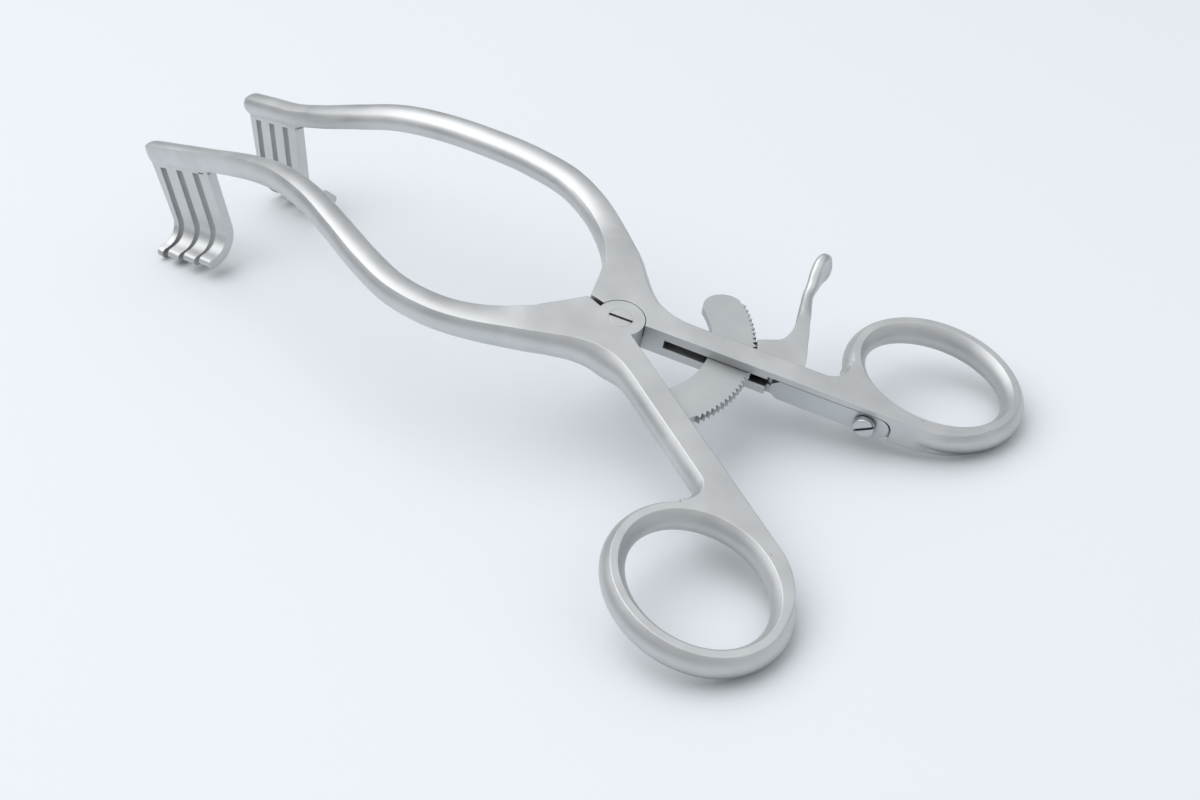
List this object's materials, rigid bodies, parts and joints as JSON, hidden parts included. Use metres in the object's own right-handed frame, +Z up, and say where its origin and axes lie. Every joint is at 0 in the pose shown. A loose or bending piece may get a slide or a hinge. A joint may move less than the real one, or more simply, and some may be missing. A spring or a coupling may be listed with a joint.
{
  "type": "self-retaining rake retractor",
  "caption": "Surgical self-retaining retractor: two arms on a pivot with finger rings, outward-hooked rake blades, a toothed ratchet bar and a sprung thumb release",
  "frame": {"origin": "middle of the bounding box on the table that the rings and the hooks rest on", "axes": "+X from the rake blades to the finger rings, +Y towards the arm that carries the release lever, +Z up"},
  "size_m": [0.1932, 0.0996, 0.0383],
  "materials": {
    "satin_steel": "satin, bead-blasted",
    "satin_bar": "satin, matte",
    "spring_steel": "satin, rolled"
  },
  "bodies": {
    "far_side": {"far_arm": "satin_steel", "pivot_screw": "satin_steel", "lever_pin": "satin_steel", "spring_screw": "satin_steel"},
    "near_side": {"near_arm": "satin_steel", "ratchet_bar": "satin_bar", "ratchet_pin_front": "satin_steel", "ratchet_pin_rear": "satin_steel"},
    "lever": {"release_lever": "satin_steel"},
    "leaf": {"leaf_spring": "spring_steel"}
  },
  "joints": [
    {"name": "arm_pivot", "type": "hinge", "parent": "far_side", "child": "near_side", "pos_m": [0.03308, 0, 0.02013], "axis": [0.2693, 0, 0.9631], "range_deg": [-4, 35]},
    {"name": "lever_pivot", "type": "hinge", "parent": "far_side", "child": "lever", "pos_m": [0.05928, 0.0126, 0.0128], "axis": [0.2693, 0, 0.9631], "range_deg": [-7, 0], "stiffness_Nm_per_rad": 0.02, "springref_deg": 20.05},
    {"name": "leaf_flex", "type": "hinge", "parent": "far_side", "child": "leaf", "pos_m": [0.08055, 0.0194, 0.00685], "axis": [0.2693, 0, 0.9631], "range_deg": [0, 1.4]}
  ],
  "couplings": [
    {"joint": "leaf_flex", "follows": "lever_pivot", "ratio": -0.19}
  ]
}
